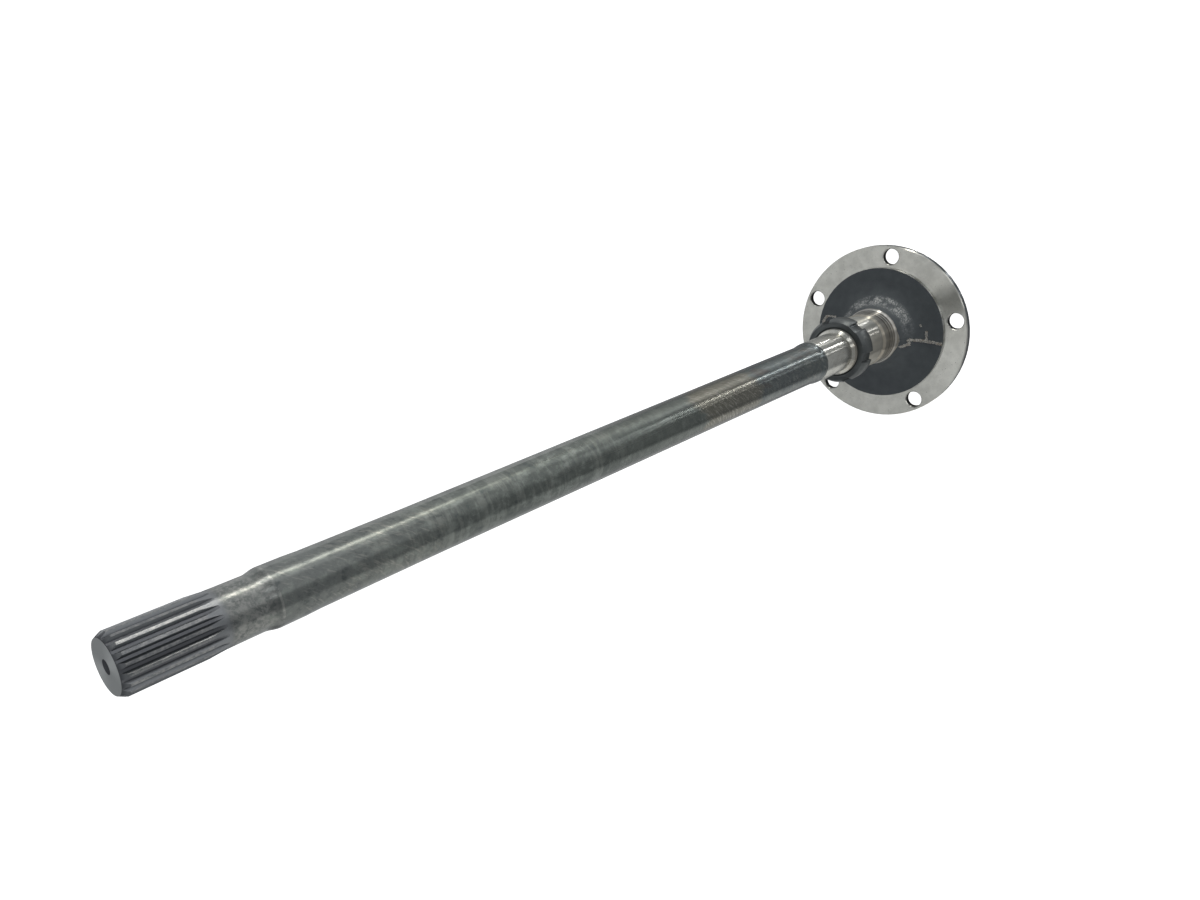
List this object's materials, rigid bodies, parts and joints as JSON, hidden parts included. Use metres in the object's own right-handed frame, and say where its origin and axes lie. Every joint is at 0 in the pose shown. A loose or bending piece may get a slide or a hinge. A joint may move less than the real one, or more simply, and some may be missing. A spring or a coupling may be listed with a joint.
{
  "type": "axle shaft",
  "caption": "Forged axle shaft with a drilled wheel flange, a ground bearing seat, a slotted lock nut on its thread and a splined end.",
  "frame": {"origin": "centre of the flange's wheel-side face, which the shaft stands on", "axes": "+Z along the shaft from the wheel flange to the splined end; +X through one stud hole"},
  "size_m": [0.1592, 0.159, 0.699],
  "materials": {
    "forged_steel": "as forged and turned",
    "black_oxide_steel": "black oxide, satin"
  },
  "bodies": {
    "shaft": {"axle_shaft": "forged_steel"},
    "nut": {"bearing_lock_nut": "black_oxide_steel"}
  },
  "joints": [
    {"name": "nut_turn", "type": "hinge", "parent": "shaft", "child": "nut", "pos_m": [0, 0, 0.0945], "axis": [0, 0, 1], "range_deg": [-960, 4104]}
  ]
}
